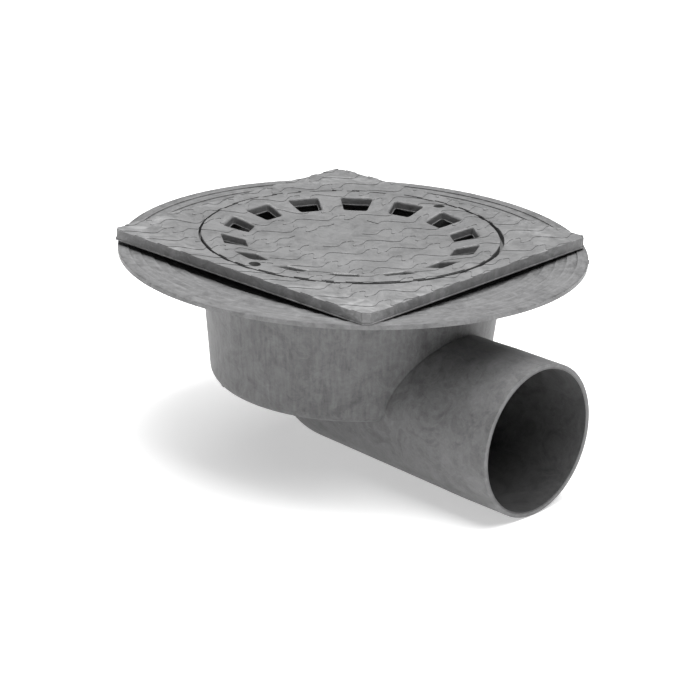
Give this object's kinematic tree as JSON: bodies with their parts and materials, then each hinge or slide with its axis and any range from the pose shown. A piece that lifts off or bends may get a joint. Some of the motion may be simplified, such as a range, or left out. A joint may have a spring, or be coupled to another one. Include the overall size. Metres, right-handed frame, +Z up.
{
  "type": "floor gully trap",
  "caption": "Round floor gully trap with wide flange, bowl and side outlet; a square tread frame slides in the bowl and carries a round slotted grate over a lift-out bell.",
  "frame": {"origin": "on the axis of the bowl, in the plane of the flat ring under the flange, which the floor carries", "axes": "+Z up along the axis of the bowl, +X along the outlet pipe towards its mouth"},
  "size_m": [0.285, 0.275, 0.13],
  "materials": {
    "body_plastic": "matte, with blotchy flow marks",
    "cover_plastic": "matte, with pale swirls"
  },
  "bodies": {
    "trap": {"trap_body": "body_plastic", "trap_bell": "body_plastic"},
    "cover": {"top_frame": "cover_plastic", "grate": "cover_plastic"}
  },
  "joints": [
    {"name": "frame_height", "type": "slide", "parent": "trap", "child": "cover", "axis": [0, 0, 1], "range_m": [0, 0.0153]}
  ]
}
